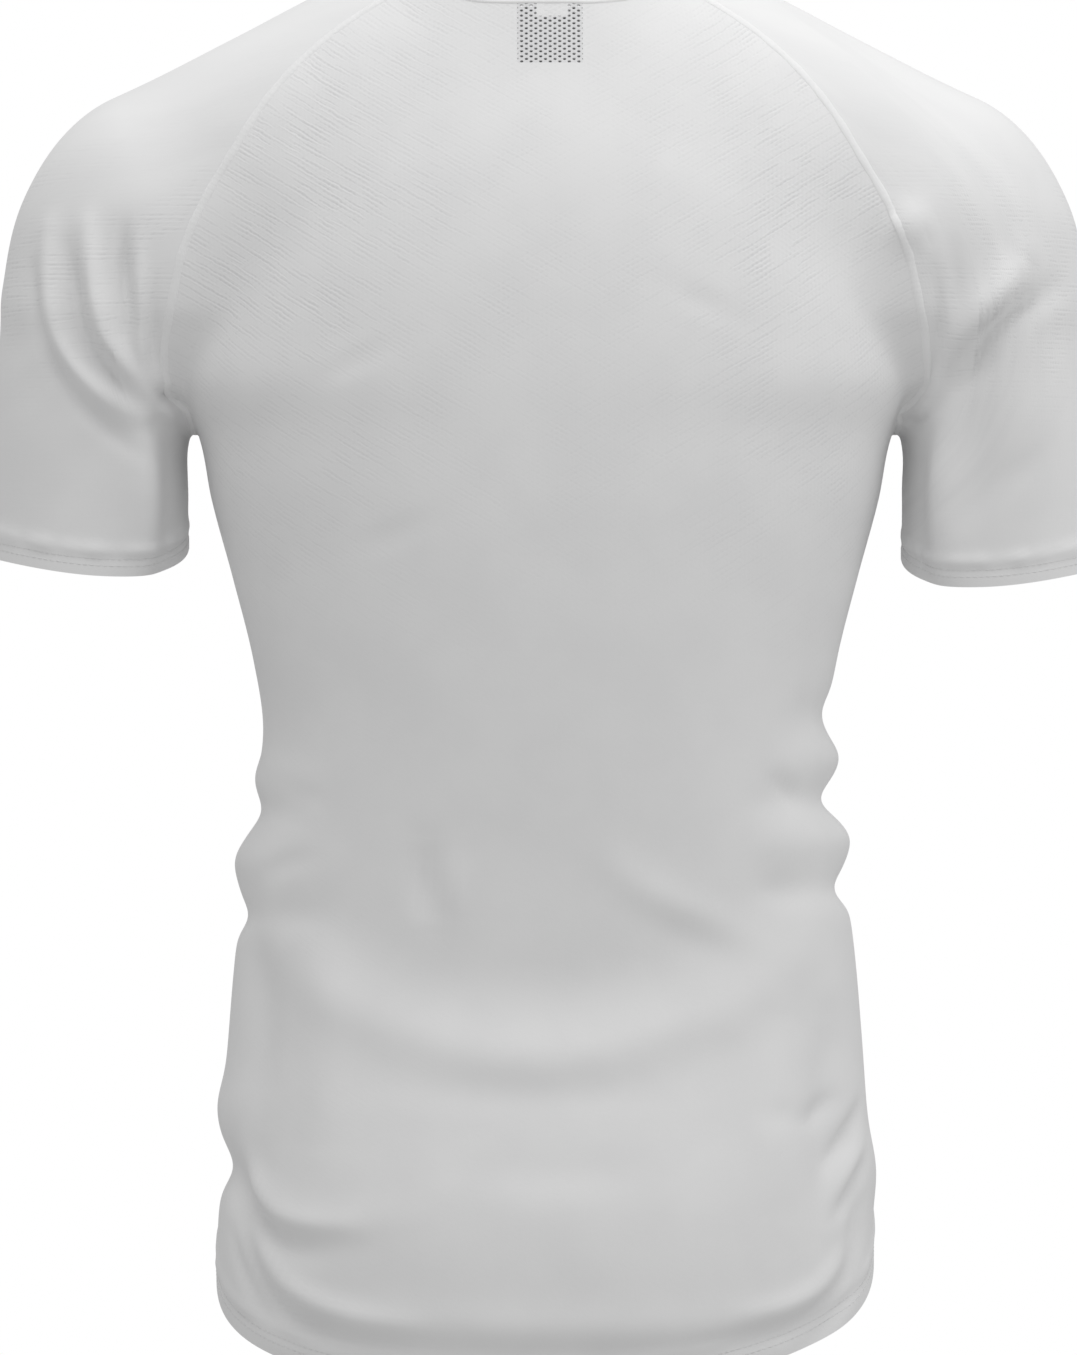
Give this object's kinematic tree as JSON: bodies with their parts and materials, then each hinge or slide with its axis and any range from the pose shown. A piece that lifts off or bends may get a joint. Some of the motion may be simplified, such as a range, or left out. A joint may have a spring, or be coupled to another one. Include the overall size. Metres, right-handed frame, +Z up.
{
  "type": "short-sleeve mesh base layer",
  "caption": "Close-fitting raglan base layer in fine eyelet mesh, in its worn form, with open neck, short sleeves and a shirt-tail hem.",
  "frame": {"origin": "midway between the two shoulder-neck points, at the height where the wearer's shoulders carry the cloth", "axes": "+Z up the wearer's back, +X towards the wearer's left, -Y out of the wearer's chest"},
  "size_m": [0.5383, 0.2249, 0.6855],
  "materials": {
    "panel_mesh": "matt eyelet mesh knit",
    "sleeve_mesh": "matt eyelet mesh knit",
    "collar_rib": "matt rib knit",
    "label_tape": "matt woven tape"
  },
  "bodies": {
    "root": {"back_panel": "panel_mesh", "front_panel": "panel_mesh", "sleeve_left": "sleeve_mesh", "sleeve_right": "sleeve_mesh", "collar": "collar_rib", "neck_label": "label_tape"}
  },
  "joints": []
}
